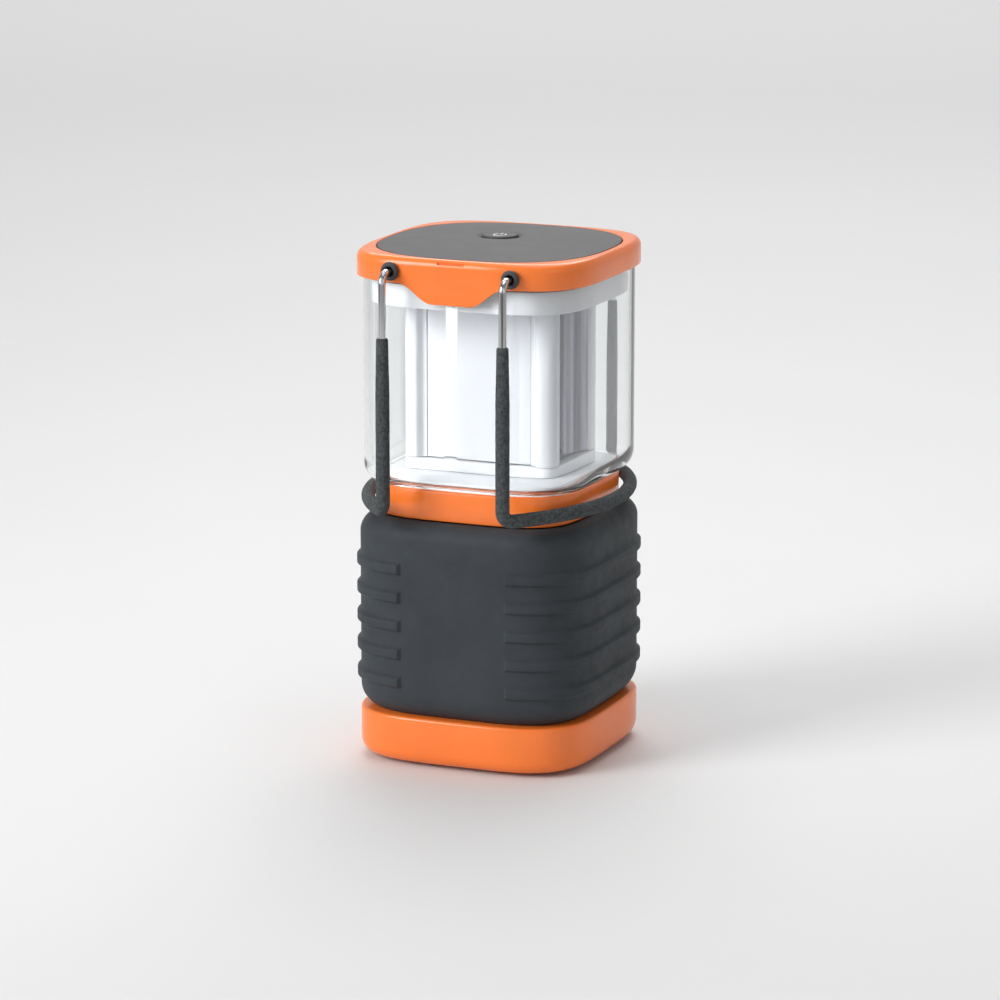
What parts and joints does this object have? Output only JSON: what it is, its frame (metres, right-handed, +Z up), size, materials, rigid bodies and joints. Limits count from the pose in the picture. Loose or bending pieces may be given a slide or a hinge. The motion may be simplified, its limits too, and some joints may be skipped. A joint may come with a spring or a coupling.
{
  "type": "rechargeable camping lantern",
  "caption": "Upright rechargeable LED camping lantern: square clear lens over a ribbed grip body, two swing-up wire handles with foam grips, and a slide-out battery pack.",
  "frame": {"origin": "on the table under the middle of the lantern, where the feet stand", "axes": "+Z up along the lantern, +Y from front to back, +X to the right seen from the front"},
  "size_m": [0.103, 0.1178, 0.203],
  "materials": {
    "orange_abs": "glossy orange ABS",
    "charcoal_rubber": "matt charcoal soft-touch rubber",
    "black_abs": "matt black ABS",
    "charcoal_abs": "fine-grained charcoal ABS",
    "clear_polycarbonate": "polished clear polycarbonate",
    "white_abs": "glossy white ABS",
    "milky_diffuser": "milky white diffuser",
    "mirrored_sheet": "vacuum-metallised mirror sheet",
    "bright_steel": "bright plated steel",
    "charcoal_foam": "charcoal closed-cell foam",
    "white_circuit_board": "white solder mask",
    "green_circuit_board": "green solder mask",
    "yellow_phosphor": "yellow phosphor over a white package",
    "gold_contact": "gold-flashed contact",
    "blue_cell_wrap": "blue shrink wrap",
    "red_plastic": "red plastic",
    "black_wire": "black wire insulation"
  },
  "bodies": {
    "lantern": {"base_ring": "orange_abs", "base_screw_back_left": "bright_steel", "base_screw_back_right": "bright_steel", "base_screw_front_left": "bright_steel", "base_screw_front_right": "bright_steel", "battery_bay": "black_abs", "battery_housing": "black_abs", "cable_black": "black_wire", "cable_red": "red_plastic", "cap": "orange_abs", "collar": "orange_abs", "contact_board": "green_circuit_board", "diffuser_back": "milky_diffuser", "diffuser_front": "milky_diffuser", "foot_back_left": "charcoal_rubber", "foot_back_right": "charcoal_rubber", "foot_front_left": "charcoal_rubber", "foot_front_right": "charcoal_rubber", "grip_sleeve": "charcoal_rubber", "led_back_lower": "yellow_phosphor", "led_back_upper": "yellow_phosphor", "led_board_back": "white_circuit_board", "led_board_front": "white_circuit_board", "led_front_lower": "yellow_phosphor", "led_front_upper": "yellow_phosphor", "lens": "clear_polycarbonate", "mirror_left": "mirrored_sheet", "mirror_right": "mirrored_sheet", "pivot_bush_back_left": "charcoal_abs", "pivot_bush_back_right": "charcoal_abs", "pivot_bush_front_left": "charcoal_abs", "pivot_bush_front_right": "charcoal_abs", "plinth": "white_abs", "reflector_column": "white_abs", "switch_board": "green_circuit_board", "tact_switch": "black_abs", "top_plate": "charcoal_abs", "top_reflector": "white_abs", "tray": "white_abs"},
    "battery_pack": {"pack_case_front": "black_abs", "pack_case_back": "black_abs", "pack_end_plate": "orange_abs", "charge_port": "bright_steel", "output_port": "bright_steel", "charge_light": "red_plastic", "cell_left": "blue_cell_wrap", "cell_right": "blue_cell_wrap", "pack_board": "green_circuit_board", "pack_contact_left": "gold_contact", "pack_contact_right": "gold_contact"},
    "power_button": {"power_button": "charcoal_abs", "button_spring": "bright_steel"},
    "left_handle": {"left_bail_wire": "bright_steel", "left_foam_grip": "charcoal_foam"},
    "right_handle": {"right_bail_wire": "bright_steel", "right_foam_grip": "charcoal_foam"}
  },
  "joints": [
    {"name": "left_handle_swing", "type": "hinge", "parent": "lantern", "child": "left_handle", "pos_m": [-0.0247, 0, 0.1945], "axis": [0, 1, 0], "range_deg": [0, 178]},
    {"name": "right_handle_swing", "type": "hinge", "parent": "lantern", "child": "right_handle", "pos_m": [0.0247, 0, 0.1945], "axis": [0, -1, 0], "range_deg": [0, 178]},
    {"name": "power_button_press", "type": "slide", "parent": "lantern", "child": "power_button", "axis": [0, 0, -1], "range_m": [0, 0.0012], "stiffness_N_per_m": 400, "springref_m": -0.0015, "deforming": ["button_spring"]},
    {"name": "battery_pack_slide", "type": "slide", "parent": "lantern", "child": "battery_pack", "axis": [0, 0, -1], "range_m": [0, 0.085]}
  ]
}
